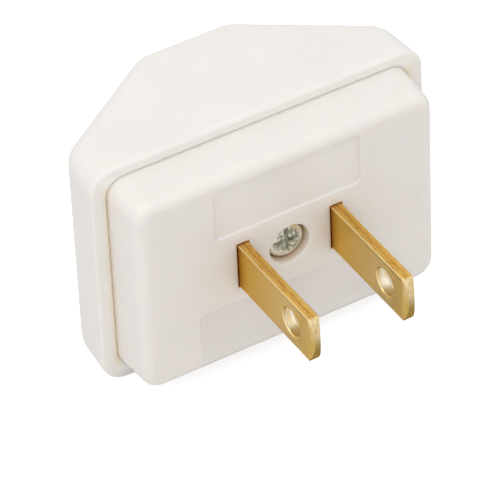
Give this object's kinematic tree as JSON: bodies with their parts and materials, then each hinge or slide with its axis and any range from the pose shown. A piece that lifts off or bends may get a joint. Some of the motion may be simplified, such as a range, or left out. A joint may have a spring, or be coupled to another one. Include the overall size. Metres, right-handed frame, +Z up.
{
  "type": "triangular socket adapter",
  "caption": "Wedge-shaped wall plug adapter: flat plug blades on a seated rear cover and parallel-slot outlets on its three outer faces.",
  "frame": {"origin": "centre of the rear cover's flat face between the two blades, the face that lies on the wall socket", "axes": "-Y out along the blades into the wall, +Y to the front outlet, +Z up, +X across the two blades"},
  "size_m": [0.045, 0.0408, 0.0318],
  "materials": {
    "shell_plastic": "semi-gloss moulded",
    "cover_plastic": "semi-gloss moulded",
    "blade_brass": "stamped, lightly brushed",
    "contact_brass": "stamped",
    "rivet_brass": "upset",
    "screw_steel": "zinc-plated"
  },
  "bodies": {
    "root": {"body_shell": "shell_plastic", "rear_cover": "cover_plastic", "cover_screw": "screw_steel", "blade_left": "blade_brass", "blade_right": "blade_brass", "contact_bar_upper": "contact_brass", "contact_bar_lower": "contact_brass", "clip_upper_left": "contact_brass", "clip_upper_front": "contact_brass", "clip_upper_right": "contact_brass", "clip_lower_left": "contact_brass", "clip_lower_front": "contact_brass", "clip_lower_right": "contact_brass", "clip_rivets": "rivet_brass", "blade_rivets": "rivet_brass"}
  },
  "joints": []
}
